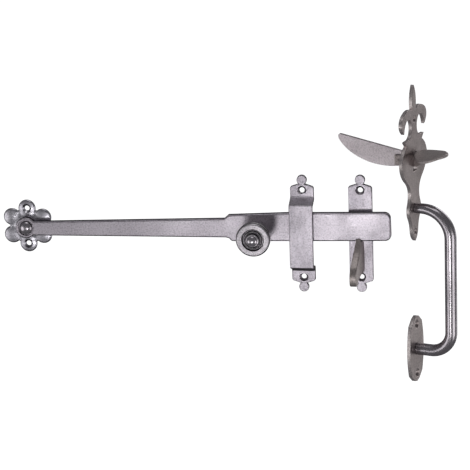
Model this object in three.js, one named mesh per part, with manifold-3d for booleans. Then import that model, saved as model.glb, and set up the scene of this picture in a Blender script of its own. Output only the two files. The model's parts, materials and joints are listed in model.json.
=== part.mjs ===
// A forged thumb latch set: a latch bar on a rosette, with its knob, keeper and catch, and a D handle whose
// thumb lever lifts the bar. Millimetres, +Z up. The latch group's mounting plane is y = 0 and it faces -Y.
// The origin is the middle of the rosette's back, on the bar's pivot axis.
import * as THREE from 'three';
import { mergeVertices } from 'three/addons/utils/BufferGeometryUtils.js';
import Module from 'manifold-3d';

const wasm = await Module();
wasm.setup();

// Driving dimensions
const GAP = 0.3; // left between pieces that touch
const PLATE = 3; // thickness of every plate and strap
const SCREW = { hole: 2.1, head: 3.7, sink: 1.9 }; // countersunk screw holes
const BAR = { back: 4.2, thick: 5, reach: 301, arm: 166, tilt: 1.2 }; // tilt in degrees, where it rests
const EYE = { radius: 8.8, recess: 6.4, sunk: 1.5, shank: 3 };
const KNOB = { x: 194, z: -2, radius: 13.8, thick: 8, standOff: 30 };
const KEEPER = { x: 228.8, z: -2.2 };
const CATCH = { x: 275.9, z: -1.5 };
const STRIP = { half: 9.6, shoulder: 38.2, neck: 41.5, finial: 44.7, finialR: 4.1, screw: 36.2 };
const STRAP = { rise: 30.4, top: 27, out: 12.7, bow: 0.2 };
const HOOK = { reach: 23.6, thick: 5.6, notch: 6.6, floor: -4.65, tip: -2.1, lean: 10 }; // lean in degrees
const HANDLE = { x: 320, y: -26.5, z: 66.3, turn: 74 }; // back of the slot's middle; degrees from the latch
const GRIP = { radius: 4.8, top: -38.5, bottom: -155, out: 29.4, upperBend: 23, lowerBend: 17, tenon: 3 };
const PIVOT = { behind: 4, pin: 1.5, span: 7 }; // thumb lever's pin, behind the top plate's back
const SLOT = { half: 3.7, height: 7.8, z: -0.6 }; // the thumb lever's way through the top plate
const PAD = { reach: 27.4, half: 19.5, thick: 2.5, crown: 3, top: 7.4 };
const BLADE_HALF = 1.5;
const FORK = { half: 3.1, height: 4.2, end: 16, rivet: 12.6 };
const LUG = { inner: 4.2, thick: 2.3, half: 3.4, root: 8.6 };

const BAR_FRONT = BAR.back + BAR.thick;

const FINISHES = {
  bar: { color: 0xb7afb9, roughness: 0.42, metalness: 0.9 },
  strap: { color: 0xcac1cd, roughness: 0.4, metalness: 0.9 },
  rosette: { color: 0x8f8b97, roughness: 0.45, metalness: 0.9 },
  knob: { color: 0xa39ca6, roughness: 0.3, metalness: 0.95 },
  handle: { color: 0x766c6c, roughness: 0.5, metalness: 0.9 },
  rod: { color: 0x8c868d, roughness: 0.3, metalness: 0.95 },
};

// A closed mesh as a manifold-3d solid, with its faces turned to point out.
function toSolid(geometry) {
  const bare = geometry.index ? geometry.toNonIndexed() : geometry.clone();
  bare.deleteAttribute('normal');
  bare.deleteAttribute('uv');
  const merged = mergeVertices(bare, 1e-4);
  const points = merged.attributes.position;
  const index = Array.from(merged.index.array);
  const corner = [new THREE.Vector3(), new THREE.Vector3(), new THREE.Vector3()];
  const triangles = [];
  let volume = 0;
  for (let i = 0; i < index.length; i += 3) {
    const [a, b, c] = index.slice(i, i + 3);
    if (a !== b && b !== c && c !== a) {
      [a, b, c].forEach((v, k) => corner[k].fromBufferAttribute(points, v));
      volume += corner[0].dot(corner[1].cross(corner[2]));
      triangles.push([a, b, c]);
    }
  }
  const turned = volume < 0 ? triangles.map(([a, b, c]) => [a, c, b]) : triangles;
  return new wasm.Manifold(new wasm.Mesh({
    numProp: 3,
    vertProperties: new Float32Array(points.array),
    triVerts: new Uint32Array(turned.flat()),
  }));
}

function toGeometry(solid) {
  const mesh = solid.getMesh();
  const geometry = new THREE.BufferGeometry();
  geometry.setAttribute('position', new THREE.BufferAttribute(new Float32Array(mesh.vertProperties), 3));
  geometry.setIndex(new THREE.BufferAttribute(new Uint32Array(mesh.triVerts), 1));
  geometry.computeVertexNormals();
  return geometry;
}

// An outline in the XZ plane, made into a plate from depth `back` to depth `front`. Depth runs along -Y.
function slab(outline, back, front) {
  const geometry = new THREE.ExtrudeGeometry(outline, { depth: front - back, bevelEnabled: false });
  geometry.rotateX(Math.PI / 2);
  geometry.translate(0, -back, 0);
  return toSolid(geometry);
}

// A profile of [depth, z] drawn from the side, made solid from x = -half to x = half.
function sideSlab(profile, half) {
  const geometry = new THREE.ExtrudeGeometry(profile, { depth: 2 * half, bevelEnabled: false });
  geometry.applyMatrix4(new THREE.Matrix4().set(
    0, 0, 1, -half,
    -1, 0, 0, 0,
    0, 1, 0, 0,
    0, 0, 0, 1,
  ));
  return toSolid(geometry);
}

// A turned piece about the Y axis through x, z. The profile is a list of [radius, depth], closed on the axis.
function turned(profile, x = 0, z = 0, sides = 30) {
  const points = profile.map(([radius, depth]) => new THREE.Vector2(radius, -depth));
  const geometry = new THREE.LatheGeometry(points, sides);
  geometry.translate(x, 0, z);
  return toSolid(geometry);
}

function drum(radius, back, front, x = 0, z = 0, sides = 28) {
  return turned([[0, back], [radius, back], [radius, front], [0, front]], x, z, sides);
}

function screwHole(x, z, size = SCREW, face = PLATE) {
  const seat = face - size.sink;
  return turned([
    [0, -1], [size.hole, -1], [size.hole, seat], [size.head, face], [size.head, face + 1], [0, face + 1],
  ], x, z, 24);
}

// A pin across the thumb lever, along X at [depth, z].
function crossPin(radius, half, depth, z = 0) {
  const geometry = new THREE.CylinderGeometry(radius, radius, 2 * half, 24);
  geometry.rotateZ(Math.PI / 2);
  geometry.translate(0, -depth, z);
  return toSolid(geometry);
}

// An outline symmetric about x = 0, from a path down its right-hand side.
function mirrored(path, steps = 6) {
  const right = path.getPoints(steps);
  const left = right.slice(1, -1).reverse().map((p) => new THREE.Vector2(-p.x, p.y));
  return new THREE.Shape([...right, ...left]);
}

function rounded(halfWidth, halfHeight, radius) {
  const shape = new THREE.Shape();
  const [x, y] = [halfWidth - radius, halfHeight - radius];
  shape.absarc(x, -y, radius, -Math.PI / 2, 0);
  shape.absarc(x, y, radius, 0, Math.PI / 2);
  shape.absarc(-x, y, radius, Math.PI / 2, Math.PI);
  shape.absarc(-x, -y, radius, Math.PI, 1.5 * Math.PI);
  return shape;
}

// Six round petals about a disc
function rosettePlate() {
  const petals = { count: 6, away: 14.9, radius: 7.2 };
  const disc = 12.8;
  const height = [0, PLATE];
  let plate = drum(disc, ...height, 0, 0, 40);
  for (let i = 0; i < petals.count; i += 1) {
    const angle = (2 * Math.PI * (i + 0.5)) / petals.count;
    plate = plate.add(drum(
      petals.radius, ...height, petals.away * Math.cos(angle), petals.away * Math.sin(angle), 30,
    ));
  }
  const socket = drum(EYE.shank + GAP, PLATE - 2, PLATE + 1);
  return plate
    .subtract(screwHole(0, petals.away))
    .subtract(screwHole(0, -petals.away))
    .subtract(socket);
}

function pivotRivet() {
  const seat = BAR_FRONT - EYE.sunk + GAP;
  const head = 5.5;
  const dome = 2.7;
  const profile = [[0, PLATE - 2 + GAP], [EYE.shank, PLATE - 2 + GAP], [EYE.shank, seat], [head, seat]];
  for (let i = 0; i <= 8; i += 1) {
    const angle = (i / 8) * (Math.PI / 2);
    profile.push([i === 8 ? 0 : head * Math.cos(angle), seat + 0.5 + dome * Math.sin(angle)]);
  }
  return turned(profile);
}

function washer(inner, outer, back, front, x = 0, z = 0) {
  return drum(outer, back, front, x, z).subtract(drum(inner, back - 1, front + 1, x, z));
}

// The bar in its own frame: pivot at the origin, lying along +X
function latchBar() {
  const above = { thin: 5.4, wide: 7.5, tall: 12 };
  const below = { thin: 6.4, wide: 8.4, tall: 11.6 };
  const corner = 5;
  const end = BAR.reach - corner;
  const shape = new THREE.Shape();
  const meet = (side) => Math.asin(side.thin / EYE.radius);
  shape.absarc(0, 0, EYE.radius, meet(above), 2 * Math.PI - meet(below));
  shape.lineTo(BAR.arm, -below.wide);
  shape.quadraticCurveTo(BAR.arm + 2.5, -below.wide - 0.3, BAR.arm + 3.6, -below.tall + 2);
  shape.quadraticCurveTo(BAR.arm + 4.6, -below.tall, BAR.arm + 7, -below.tall);
  shape.lineTo(end, -below.tall);
  shape.absarc(end, corner - below.tall, corner, -Math.PI / 2, 0);
  shape.absarc(end, above.tall - corner, corner, 0, Math.PI / 2);
  shape.lineTo(BAR.arm + 50, above.tall);
  shape.lineTo(BAR.arm + 3.5, above.tall - 1.4);
  shape.lineTo(BAR.arm, above.wide);
  return slab(shape, BAR.back, BAR_FRONT)
    .subtract(drum(EYE.shank + GAP, 0, BAR_FRONT + 1))
    .subtract(drum(EYE.recess, BAR_FRONT - EYE.sunk, BAR_FRONT + 1))
    .subtract(drum(EYE.shank + GAP, 0, BAR_FRONT + 1, KNOB.x, KNOB.z));
}

const KNOB_FRONT = BAR_FRONT + KNOB.standOff;
const KNOB_BACK = KNOB_FRONT - KNOB.thick;

// Peened end behind the bar, shank, collar, waisted neck, spigot through the disc, and a domed front end
function knobStem() {
  const [shank, peen, collar, waist, dome] = [EYE.shank, 4.4, 6.4, 3.9, 4.3];
  const washerBack = BAR.back - GAP - 1;
  const profile = [
    [0, washerBack - GAP - 1], [peen, washerBack - GAP - 0.8], [peen, washerBack - GAP],
    [shank, washerBack - GAP], [shank, BAR_FRONT + GAP], [collar, BAR_FRONT + GAP],
    [collar, BAR_FRONT + 1.7],
  ];
  const neckEnd = KNOB_BACK - GAP;
  for (let i = 0; i <= 8; i += 1) {
    const along = i / 8;
    const swell = (2 * along - 1) ** 2;
    profile.push([waist + 1.5 * swell, BAR_FRONT + 2.2 + along * (neckEnd - BAR_FRONT - 2.2)]);
  }
  const seat = KNOB_FRONT + 2.6;
  profile.push([shank, neckEnd], [shank, seat], [dome, seat]);
  for (let i = 0; i <= 6; i += 1) {
    const angle = (i / 6) * (Math.PI / 2);
    profile.push([i === 6 ? 0 : dome * Math.cos(angle), seat + 0.5 + 2.2 * Math.sin(angle)]);
  }
  return turned(profile, KNOB.x, KNOB.z);
}

// Turned disc: flat rim, a hollow cove, and a stepped boss in the middle
function knobDisc() {
  const bore = EYE.shank + GAP;
  const [r, front, back] = [KNOB.radius, KNOB_FRONT, KNOB_BACK];
  const boss = front + 2.3;
  const profile = [
    [bore, back], [6.5, back], [r - 1.6, back + 0.7], [r - 0.3, back + 1.5], [r - 0.2, back + 2.4],
    [r - 1, back + 3.6], [r - 1, back + 4.4], [r, back + 5.6], [r, front - 0.5], [r - 0.5, front],
    [9.4, front], [9.0, front - 0.9], [8.2, front - 1.3], [7.3, front - 1], [6.8, front],
    [6.5, boss - 0.8], [6.1, boss - 0.3], [5.4, boss], [bore, boss], [bore, back],
  ];
  return turned(profile, KNOB.x, KNOB.z, 44);
}

// Front outline of the keeper and of the catch plate: chamfered shoulders and a round finial at each end
function stripOutline() {
  const s = STRIP;
  const path = new THREE.Path();
  const start = -Math.asin((s.finial - s.neck) / s.finialR);
  path.absarc(0, s.finial, s.finialR, Math.PI / 2, start, true);
  path.lineTo(s.half - 1, s.shoulder + 1.3);
  path.lineTo(s.half, s.shoulder);
  path.lineTo(s.half, -s.shoulder);
  path.lineTo(s.half - 1, -s.shoulder - 1.3);
  path.absarc(0, -s.finial, s.finialR, -start, -Math.PI / 2, true);
  return mirrored(path, 8);
}

function withStripScrews(solid) {
  return solid.subtract(screwHole(0, STRIP.screw)).subtract(screwHole(0, -STRIP.screw));
}

// Side of the keeper: flat feet, sloping risers and a slightly bowed bridge
function keeperStrap() {
  const s = STRAP;
  const reach = STRIP.finial + STRIP.finialR + 1;
  const inner = s.out - PLATE;
  const side = new THREE.Shape();
  side.moveTo(0, reach);
  side.lineTo(0, s.rise - PLATE);
  side.lineTo(inner - 0.6, s.top - PLATE + 0.2);
  side.quadraticCurveTo(inner, s.top - PLATE, inner, s.top - PLATE - 0.8);
  side.quadraticCurveTo(inner + 2 * s.bow, 0, inner, PLATE + 0.8 - s.top);
  side.quadraticCurveTo(inner, PLATE - s.top, inner - 0.6, PLATE - 0.2 - s.top);
  side.lineTo(0, PLATE - s.rise);
  side.lineTo(0, -reach);
  side.lineTo(PLATE, -reach);
  side.lineTo(PLATE, -s.rise - 1);
  side.quadraticCurveTo(PLATE, -s.rise, PLATE + 1, -s.rise + 0.35);
  side.lineTo(s.out - 1.4, 0.5 - s.top);
  side.quadraticCurveTo(s.out, -s.top, s.out, 1.6 - s.top);
  side.quadraticCurveTo(s.out + 2 * s.bow, 0, s.out, s.top - 1.6);
  side.quadraticCurveTo(s.out, s.top, s.out - 1.4, s.top - 0.5);
  side.lineTo(PLATE + 1, s.rise - 0.35);
  side.quadraticCurveTo(PLATE, s.rise, PLATE, s.rise + 1);
  side.lineTo(PLATE, reach);
  const bridge = sideSlab(side, STRIP.half + 1);
  return withStripScrews(bridge.intersect(slab(stripOutline(), -1, s.out + 2 * s.bow + 1)));
}

const HOOK_TENON = { half: 1.9, height: 7, z: -17 };

function catchPlate() {
  const t = HOOK_TENON;
  const slot = slab(rounded(t.half + GAP, t.height + GAP, 0.5), -1, PLATE + 1).translate([0, 0, t.z]);
  return withStripScrews(slab(stripOutline(), 0, PLATE)).subtract(slot);
}

// The fin: notch for the bar, nose, long ramp, rounded lobe below, and a tenon through the plate
function catchHook() {
  const [root, notch, out] = [PLATE + GAP, PLATE + HOOK.notch, PLATE + HOOK.reach];
  const side = new THREE.Shape();
  side.moveTo(root, -31);
  side.lineTo(root, HOOK.floor);
  side.lineTo(notch - 1, HOOK.floor);
  side.quadraticCurveTo(notch, HOOK.floor, notch, HOOK.floor + 1);
  side.lineTo(notch, HOOK.tip - 0.5);
  side.quadraticCurveTo(notch + 0.4, HOOK.tip, notch + 1.2, HOOK.tip - 0.2);
  side.quadraticCurveTo(notch + 2.6, -8.6, notch + 7, -14);
  side.lineTo(out - 3.2, -22);
  side.quadraticCurveTo(out, -26.5, out, -31.5);
  side.quadraticCurveTo(out - 0.2, -37.6, out - 2.6, -37.8);
  side.quadraticCurveTo(out - 4.6, -37.8, out - 5.2, -35);
  side.quadraticCurveTo(out - 12, -31, root, -31);
  const front = new THREE.Path();
  front.moveTo(0, 0);
  front.lineTo(1.8, 0);
  front.lineTo(HOOK.thick / 2, -15);
  front.lineTo(HOOK.thick / 2, -39);
  front.lineTo(0, -39);
  const t = HOOK_TENON;
  const tenon = slab(rounded(t.half, t.height, 0.5), GAP, PLATE + 1).translate([0, 0, t.z]);
  const lean = Math.tan(THREE.MathUtils.degToRad(HOOK.lean)); // sideways for each mm of depth
  const fin = sideSlab(side, HOOK.thick / 2 + 1).intersect(slab(mirrored(front, 1), 0, out + 1));
  return fin.transform([1, 0, 0, 0, lean, 1, 0, 0, 0, 0, 1, 0, lean * root, 0, 0, 1]).add(tenon);
}

// Right-hand side of the handle's top plate, from the spear's tip to the tail's tip
function topPlateOutline() {
  const path = new THREE.Path();
  path.moveTo(0, 60.6);
  path.quadraticCurveTo(3.8, 55, 4, 47.5);
  path.quadraticCurveTo(4, 44, 3.6, 41);
  path.quadraticCurveTo(10.7, 44, 16.8, 41.6);
  path.quadraticCurveTo(25.8, 38.8, 25.4, 31.8);
  path.quadraticCurveTo(24.6, 28, 20.4, 25.2);
  path.quadraticCurveTo(19.4, 30.6, 16.6, 33.2);
  path.quadraticCurveTo(13, 36.4, 9, 34.6);
  path.quadraticCurveTo(5.5, 32.3, 5.2, 27);
  path.quadraticCurveTo(5.2, 21, 11.1, 18.9);
  path.lineTo(19.3, 18.6);
  path.lineTo(15.4, 14.6);
  path.quadraticCurveTo(24.6, 10, 25.6, 1.5);
  path.quadraticCurveTo(24.9, -8, 15.9, -14.4);
  path.quadraticCurveTo(8.6, -19.5, 8.6, -26);
  path.quadraticCurveTo(8.7, -31, 10.9, -34.5);
  path.quadraticCurveTo(13.3, -39.5, 10.2, -45);
  path.quadraticCurveTo(6.4, -50, 5.9, -56);
  path.quadraticCurveTo(5.2, -62, 0, -65.3);
  return mirrored(path, 5);
}

function handleTopPlate() {
  const small = { hole: 1.6, head: 2.8, sink: 1.3 };
  const slot = slab(rounded(SLOT.half, SLOT.height, 1), -1, PLATE + 1).translate([0, 0, SLOT.z]);
  return slab(topPlateOutline(), 0, PLATE)
    .subtract(slot)
    .subtract(screwHole(0, 33.4, small))
    .subtract(screwHole(0, -57.6, small))
    .subtract(drum(GRIP.tenon + GAP, -1, PLATE + 1, 0, GRIP.top));
}

// Boat-shaped plate, bulging sides and chamfered ends
function handleBottomPlate() {
  const path = new THREE.Path();
  path.moveTo(0, 27.6);
  path.lineTo(4.7, 26.2);
  path.lineTo(11, 21);
  path.quadraticCurveTo(17.6, 0, 11, -21);
  path.lineTo(4.7, -26.2);
  path.lineTo(0, -27.6);
  return slab(mirrored(path, 10), 0, PLATE)
    .subtract(screwHole(0, 20.4))
    .subtract(screwHole(0, -20.4))
    .subtract(drum(GRIP.tenon + GAP, -1, PLATE + 1));
}

// Round rod bent to a D, with a tenon into each plate
function gripBar() {
  const g = GRIP;
  const at = (out, z) => new THREE.Vector3(0, -PLATE - out, z);
  const upper = [at(g.out - g.upperBend, g.top), at(g.out, g.top - g.upperBend)];
  const lower = [at(g.out, g.bottom + g.lowerBend), at(g.out - g.lowerBend, g.bottom)];
  const path = new THREE.CurvePath();
  const bend = (start, end, cornerZ) => {
    const corner = at(g.out, cornerZ);
    const quarter = 0.5523; // handle length of a cubic that draws a quarter circle
    path.add(new THREE.CubicBezierCurve3(
      start, start.clone().lerp(corner, quarter), end.clone().lerp(corner, quarter), end,
    ));
  };
  path.add(new THREE.LineCurve3(at(GAP, g.top), upper[0]));
  bend(upper[0], upper[1], g.top);
  path.add(new THREE.LineCurve3(upper[1], lower[0]));
  bend(lower[0], lower[1], g.bottom);
  path.add(new THREE.LineCurve3(lower[1], at(GAP, g.bottom)));
  const section = new THREE.Shape();
  section.absarc(0, 0, g.radius, 0, 2 * Math.PI);
  const rod = new THREE.ExtrudeGeometry(section, { steps: 46, curveSegments: 8, extrudePath: path });
  const tenon = (z) => drum(g.tenon, GAP, PLATE + 1, 0, z, 24);
  return toSolid(rod).add(tenon(g.top)).add(tenon(g.bottom));
}

// Leaf-shaped press with a crowned top. Its shank goes through the slot and forks round the blade.
function thumbPad() {
  const leaf = new THREE.Path();
  leaf.moveTo(0, PAD.reach);
  leaf.quadraticCurveTo(4.4, PAD.reach, 9, PAD.reach - 3.8);
  leaf.quadraticCurveTo(PAD.half + 2, 17.5, PAD.half - 0.6, 11);
  leaf.quadraticCurveTo(PAD.half - 5, 3.2, FORK.half, 1.6);
  leaf.lineTo(0, 1.6);
  const outline = new THREE.ExtrudeGeometry(mirrored(leaf, 7), { depth: 20, bevelEnabled: false });
  outline.applyMatrix4(new THREE.Matrix4().set(
    1, 0, 0, 0,
    0, -1, 0, -PLATE,
    0, 0, -1, PAD.top + 4,
    0, 0, 0, 1,
  ));
  const { half, thick, crown, top } = PAD;
  const arch = new THREE.Shape();
  arch.moveTo(-half - 1, top - crown - thick);
  arch.quadraticCurveTo(0, top + crown - thick, half + 1, top - crown - thick);
  arch.lineTo(half + 1, top - crown);
  arch.quadraticCurveTo(0, top + crown, -half - 1, top - crown);
  const crowned = toSolid(outline).intersect(slab(arch, PLATE, PLATE + PAD.reach + 2)
    .add(slab(new THREE.Shape([
      new THREE.Vector2(-FORK.half, -FORK.height), new THREE.Vector2(FORK.half, -FORK.height),
      new THREE.Vector2(FORK.half, top - 0.6), new THREE.Vector2(-FORK.half, top - 0.6),
    ]), PLATE, PLATE + 4)));
  const shankSide = new THREE.Shape();
  shankSide.moveTo(PLATE + 3, top - 0.8);
  shankSide.lineTo(-FORK.end + PLATE, FORK.height);
  shankSide.lineTo(-FORK.end + PLATE, -FORK.height);
  shankSide.lineTo(PLATE + 1.8, -FORK.height);
  shankSide.quadraticCurveTo(PLATE + 6, -2, PLATE + 11, top - thick - 0.2);
  const shank = sideSlab(shankSide, FORK.half);
  const cleft = slab(rounded(BLADE_HALF + GAP, 20, 0.5), -FORK.end, -0.6);
  return crowned.add(shank)
    .subtract(cleft)
    .subtract(crossPin(PIVOT.pin + GAP, 10, -PIVOT.behind))
    .subtract(crossPin(PIVOT.pin + GAP, 10, PLATE - FORK.rivet));
}

// Sickle-shaped tail in the plane of the handle
function liftBlade() {
  const side = new THREE.Shape();
  side.moveTo(-1.3, 3.6);
  side.lineTo(-6, 7);
  side.lineTo(-60.2, 17);
  side.quadraticCurveTo(-62.4, 16.6, -61.2, 12.8);
  side.quadraticCurveTo(-54, 1.6, -36, -3.8);
  side.quadraticCurveTo(-22, -7.4, -8, -4.8);
  side.quadraticCurveTo(-3, -4, -1.3, -3.2);
  return sideSlab(side, BLADE_HALF)
    .subtract(crossPin(PIVOT.pin + GAP, 10, -PIVOT.behind))
    .subtract(crossPin(PIVOT.pin + GAP, 10, PLATE - FORK.rivet));
}

// One of the two lugs that hold the thumb lever's pin, welded behind the top plate
function pivotLug() {
  const side = new THREE.Shape();
  side.moveTo(-GAP, LUG.root);
  side.quadraticCurveTo(-1.2, LUG.half + 0.8, -PIVOT.behind, LUG.half);
  side.absarc(-PIVOT.behind, 0, LUG.half, Math.PI / 2, 1.5 * Math.PI);
  side.quadraticCurveTo(-1.2, -LUG.half - 0.8, -GAP, -LUG.root);
  return sideSlab(side, LUG.thick / 2).subtract(crossPin(PIVOT.pin + GAP, 10, -PIVOT.behind));
}

function piece(name, solid, finish, parent, x = 0, z = 0) {
  const mesh = new THREE.Mesh(toGeometry(solid), new THREE.MeshStandardMaterial(FINISHES[finish]));
  mesh.name = name;
  mesh.position.set(x, 0, z);
  parent.add(mesh);
}

const latchSet = new THREE.Group();

piece('rosette_plate', rosettePlate(), 'rosette', latchSet);
piece('pivot_washer', washer(EYE.shank + GAP, 6.4, PLATE + GAP, BAR.back - GAP), 'rosette', latchSet);
piece('pivot_rivet', pivotRivet(), 'knob', latchSet);
piece('keeper_strap', keeperStrap(), 'strap', latchSet, KEEPER.x, KEEPER.z);
piece('catch_plate', catchPlate(), 'strap', latchSet, CATCH.x, CATCH.z);
piece('catch_hook', catchHook(), 'handle', latchSet, CATCH.x, CATCH.z);

const bar = new THREE.Group();
bar.rotation.y = -THREE.MathUtils.degToRad(BAR.tilt);
latchSet.add(bar);
piece('latch_bar', latchBar(), 'bar', bar);
piece('knob_stem', knobStem(), 'knob', bar);
piece('knob_disc', knobDisc(), 'knob', bar);
piece('knob_washer', washer(EYE.shank + GAP, 6, BAR.back - GAP - 1, BAR.back - GAP, KNOB.x, KNOB.z), 'knob', bar);

const handle = new THREE.Group();
handle.position.set(HANDLE.x, HANDLE.y, HANDLE.z);
handle.rotation.z = THREE.MathUtils.degToRad(HANDLE.turn);
latchSet.add(handle);
piece('handle_top_plate', handleTopPlate(), 'handle', handle);
piece('handle_bottom_plate', handleBottomPlate(), 'handle', handle, 0, GRIP.bottom);
piece('grip_bar', gripBar(), 'rod', handle);
piece('thumb_pad', thumbPad(), 'handle', handle);
piece('lift_blade', liftBlade(), 'strap', handle);
piece('thumb_pin', crossPin(PIVOT.pin, PIVOT.span, -PIVOT.behind), 'handle', handle);
piece('lever_rivet', crossPin(PIVOT.pin, FORK.half, PLATE - FORK.rivet), 'handle', handle);
piece('pivot_lug_left', pivotLug(), 'handle', handle, -LUG.inner - LUG.thick / 2);
piece('pivot_lug_right', pivotLug(), 'handle', handle, LUG.inner + LUG.thick / 2);

export default latchSet;
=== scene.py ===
"""Looks of the thumb latch set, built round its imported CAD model.

Shapes are in millimetres, as drawn from the front: x to the right, depth towards the viewer, z up. A piece's
place turns that into the frame's metres."""

import json
import math

import bmesh
import bpy
from mathutils import Matrix, Vector
from mathutils.geometry import delaunay_2d_cdt


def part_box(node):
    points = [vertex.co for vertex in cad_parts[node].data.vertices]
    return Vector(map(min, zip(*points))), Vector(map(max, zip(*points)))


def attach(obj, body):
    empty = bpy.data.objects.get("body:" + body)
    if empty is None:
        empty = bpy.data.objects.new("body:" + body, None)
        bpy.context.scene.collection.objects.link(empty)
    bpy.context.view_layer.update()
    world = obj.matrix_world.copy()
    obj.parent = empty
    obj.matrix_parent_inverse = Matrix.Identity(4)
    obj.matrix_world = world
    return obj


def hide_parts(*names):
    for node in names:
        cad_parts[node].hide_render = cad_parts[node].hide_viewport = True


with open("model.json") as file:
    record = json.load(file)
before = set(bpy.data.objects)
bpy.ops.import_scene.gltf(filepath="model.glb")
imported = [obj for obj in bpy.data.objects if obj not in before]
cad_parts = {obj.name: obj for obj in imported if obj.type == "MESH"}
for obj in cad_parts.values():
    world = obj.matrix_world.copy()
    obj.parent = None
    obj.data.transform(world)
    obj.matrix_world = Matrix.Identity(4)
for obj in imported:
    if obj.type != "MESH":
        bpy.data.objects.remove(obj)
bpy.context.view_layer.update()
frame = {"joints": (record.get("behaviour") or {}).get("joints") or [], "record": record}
record = frame["record"]

MM = 0.001
PLATE = 3.0  # thickness of every plate and strap
EDGE = 0.6  # round on the edges of the plates
GAP = 0.3  # between two pieces that touch
SCREW = {"hole": 2.1, "head": 3.7, "sink": 1.9}
SMALL_SCREW = {"hole": 1.6, "head": 2.8, "sink": 1.3}


# ---- Places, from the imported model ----


def place(x=0.0, y=0.0, z=0.0, turn=0.0, tilt=0.0):
    """x, y, z in millimetres and angles in radians. Local depth runs along -Y before the turn."""
    spot = Matrix.Translation((x * MM, y * MM, z * MM))
    turned = Matrix.Rotation(turn, 4, "Z") @ Matrix.Rotation(-tilt, 4, "Y")
    return spot @ turned @ Matrix.Scale(MM, 4)


def middle(node):
    low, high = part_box(node)
    return (low + high) / 2 / MM


def mount(name):
    return next(m for m in record["mounts"] if m["name"] == name)


def joint(name):
    return next(j for j in frame["joints"] if j["name"] == name)


KNOB_Z = -2.0  # how far the knob is above the line from the pivot along the bar
knob_middle = middle("knob_disc")
KNOB_X = math.sqrt(knob_middle.x**2 + knob_middle.z**2 - KNOB_Z**2)
BAR_TILT = math.atan2(knob_middle.z, knob_middle.x) - math.atan2(KNOB_Z, KNOB_X)
HANDLE_MOUNT = mount("handle_top_back")
HANDLE_TURN = math.atan2(-HANDLE_MOUNT["axis"][0], HANDLE_MOUNT["axis"][1])
HANDLE_AT = [v / MM for v in HANDLE_MOUNT["pos_m"][:2]] + [joint("thumb_pivot")["pos_m"][2] / MM]

WALL = place()
BAR_PLACE = place(tilt=BAR_TILT)
KEEPER = place(x=middle("keeper_strap").x, z=middle("keeper_strap").z)
CATCH = place(x=middle("catch_plate").x, z=middle("catch_plate").z)
HANDLE = place(*HANDLE_AT, turn=HANDLE_TURN)
BAR_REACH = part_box("latch_bar")[1].x / MM - 0.1


# ---- Outlines ----


def trace(start, *moves, steps=8):
    """Points of a path. A move is a point, for a straight line, or a (control, end) pair, for a curve."""
    points = [Vector(start)]
    for move in moves:
        if isinstance(move[0], tuple):
            a, control, end = points[-1].copy(), Vector(move[0]), Vector(move[1])
            for i in range(1, steps + 1):
                t = i / steps
                points.append(a * (1 - t) ** 2 + control * 2 * t * (1 - t) + end * t * t)
        else:
            points.append(Vector(move))
    return points


def arc(x, z, radius, start, end, steps=16):
    """Points round a circle, angles in degrees."""
    angles = [math.radians(start + (end - start) * i / steps) for i in range(steps + 1)]
    return [Vector((x + radius * math.cos(a), z + radius * math.sin(a))) for a in angles]


def circle(x, z, radius, steps=48):
    return arc(x, z, radius, 0, 360, steps)[:-1]


def mirrored(path):
    """A closed outline from a path down its right-hand side, counter-clockwise."""
    left = [Vector((-p.x, p.y)) for p in path[1:-1]]
    return [path[0]] + left + [path[-1]] + path[1:-1][::-1]


def box_outline(half_x, half_z, radius, steps=5):
    x, z = half_x - radius, half_z - radius
    return (
        arc(x, -z, radius, -90, 0, steps)
        + arc(x, z, radius, 0, 90, steps)
        + arc(-x, z, radius, 90, 180, steps)
        + arc(-x, -z, radius, 180, 270, steps)
    )


def divided(loop, longest):
    """The closed loop with its long edges cut into equal parts."""
    points = []
    for i, p in enumerate(loop):
        after = loop[(i + 1) % len(loop)]
        parts = max(1, math.ceil((after - p).length / longest))
        points += [p.lerp(after, k / parts) for k in range(parts)]
    return points


def offset(loop, distance):
    """The closed loop moved to its left by that distance, with mitred corners."""
    moved = []
    for i, p in enumerate(loop):
        before, after = p - loop[i - 1], loop[(i + 1) % len(loop)] - p
        a = Vector((-before.y, before.x)).normalized()
        b = Vector((-after.y, after.x)).normalized()
        moved.append(p + (a + b) * (distance / max(0.5, 1 + a.dot(b))))
    return moved


# ---- Edge profiles: (inset into the material, level above the back) from the back face to the front ----


def rounded_edge(thick, radius=EDGE, steps=3):
    turns = [math.pi / 2 * i / steps for i in range(steps + 1)]
    back = [(radius * (1 - math.sin(a)), radius * (1 - math.cos(a))) for a in turns]
    return back + [(inset, thick - level) for inset, level in reversed(back)]


def sunk_edge(screw):
    """A countersunk hole through a plate, with both its ends eased."""
    ease, rim = 0.15, 0.12
    reach = screw["head"] - screw["hole"]
    return [(ease, 0), (0, ease), (0, PLATE - screw["sink"]), (reach, PLATE - rim), (reach + ease, PLATE)]


def plain_edge(thick, ease=0.2):
    return [(ease, 0), (0, ease), (0, thick - ease), (ease, thick)]


def screw_loop(x, z, screw=SCREW):
    return circle(x, z, screw["hole"], 40), sunk_edge(screw)


# ---- Meshes ----


INSIDE_WITH_HOLES = 2  # delaunay_2d_cdt's output of triangles inside the outline and outside its holes


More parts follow.
